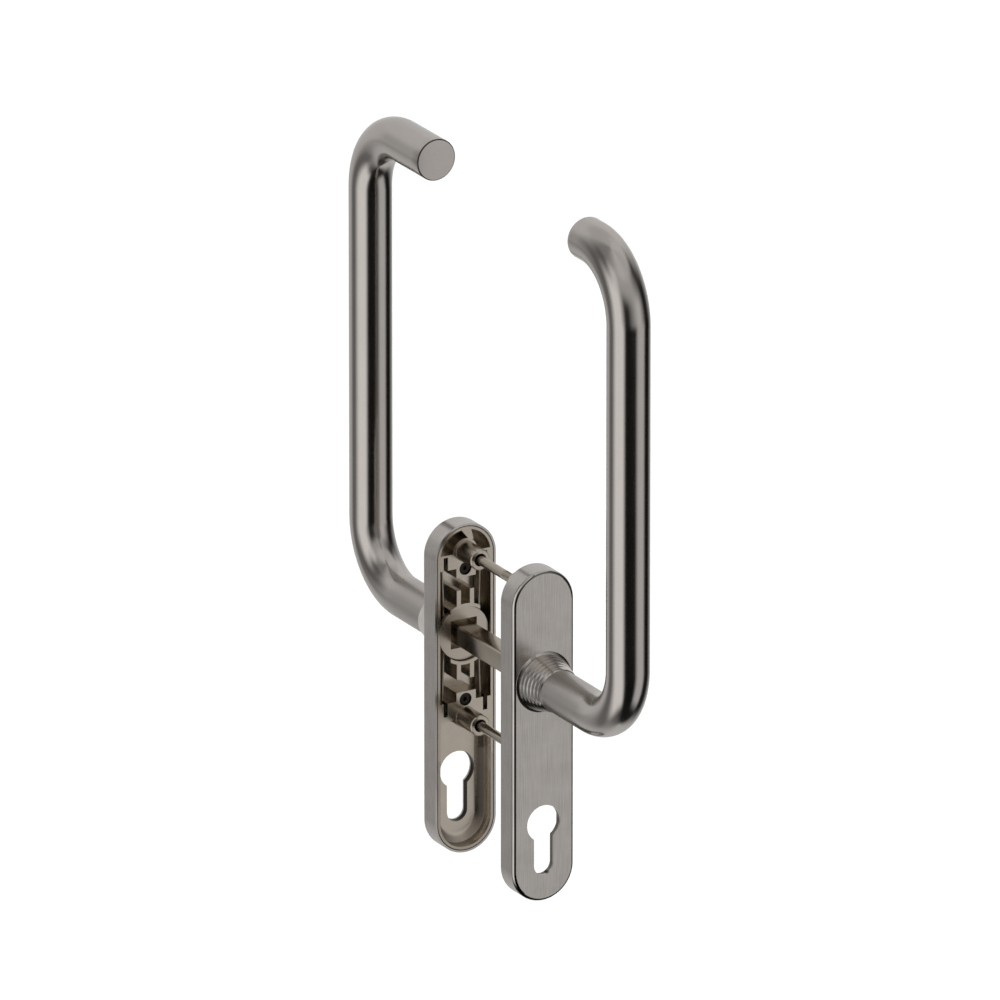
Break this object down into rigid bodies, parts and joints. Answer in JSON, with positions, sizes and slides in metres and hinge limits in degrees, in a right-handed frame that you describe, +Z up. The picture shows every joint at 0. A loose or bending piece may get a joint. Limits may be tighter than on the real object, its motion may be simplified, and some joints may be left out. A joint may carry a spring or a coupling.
{
  "type": "lift and slide door handle",
  "caption": "Pair of long bent round-bar handles on round-ended backplates, keyed on one square spindle, for a lifting and sliding door, shown without the door.",
  "frame": {"origin": "on the spindle's axis, midway between the two faces of the door", "axes": "+Z up along the grips, +Y towards the interior handle, -Y towards the exterior handle, +X to the right seen from the exterior"},
  "size_m": [0.032, 0.2545, 0.3435],
  "materials": {
    "brushed_cover": "fine upright brushing, satin",
    "satin_grip": "satin polished round bar",
    "turned_collar": "turned, with fine rings round the axis",
    "plated_casting": "matt nickel plate on a zinc casting",
    "spring_steel": "rolled spring strip",
    "plated_screw": "dull zinc plate",
    "plated_bar": "drawn bar, bright zinc plate"
  },
  "bodies": {
    "plates": {"interior_cover_plate": "brushed_cover", "interior_carrier": "plated_casting", "interior_bearing_bush": "brushed_cover", "interior_leaf_spring_left": "spring_steel", "interior_leaf_spring_right": "spring_steel", "interior_cover_screw_lower": "plated_screw", "interior_cover_screw_upper": "plated_screw", "exterior_cover_plate": "brushed_cover", "exterior_carrier": "plated_casting", "exterior_bearing_bush": "brushed_cover", "exterior_leaf_spring_left": "spring_steel", "exterior_leaf_spring_right": "spring_steel", "exterior_cover_screw_lower": "plated_screw", "exterior_cover_screw_upper": "plated_screw", "through_bolt_lower": "plated_bar", "through_bolt_upper": "plated_bar"},
    "handles": {"interior_rotor": "plated_casting", "interior_collar": "turned_collar", "interior_grub_screw": "plated_screw", "interior_grip": "satin_grip", "exterior_rotor": "plated_casting", "exterior_collar": "turned_collar", "exterior_grub_screw": "plated_screw", "exterior_grip": "satin_grip", "spindle": "plated_bar"}
  },
  "joints": [
    {"name": "handle_turn", "type": "hinge", "parent": "plates", "child": "handles", "pos_m": [0, 0, 0], "axis": [0, 1, 0], "range_deg": [0, 180], "deforming": ["interior_leaf_spring_left", "interior_leaf_spring_right", "exterior_leaf_spring_left", "exterior_leaf_spring_right"]}
  ]
}
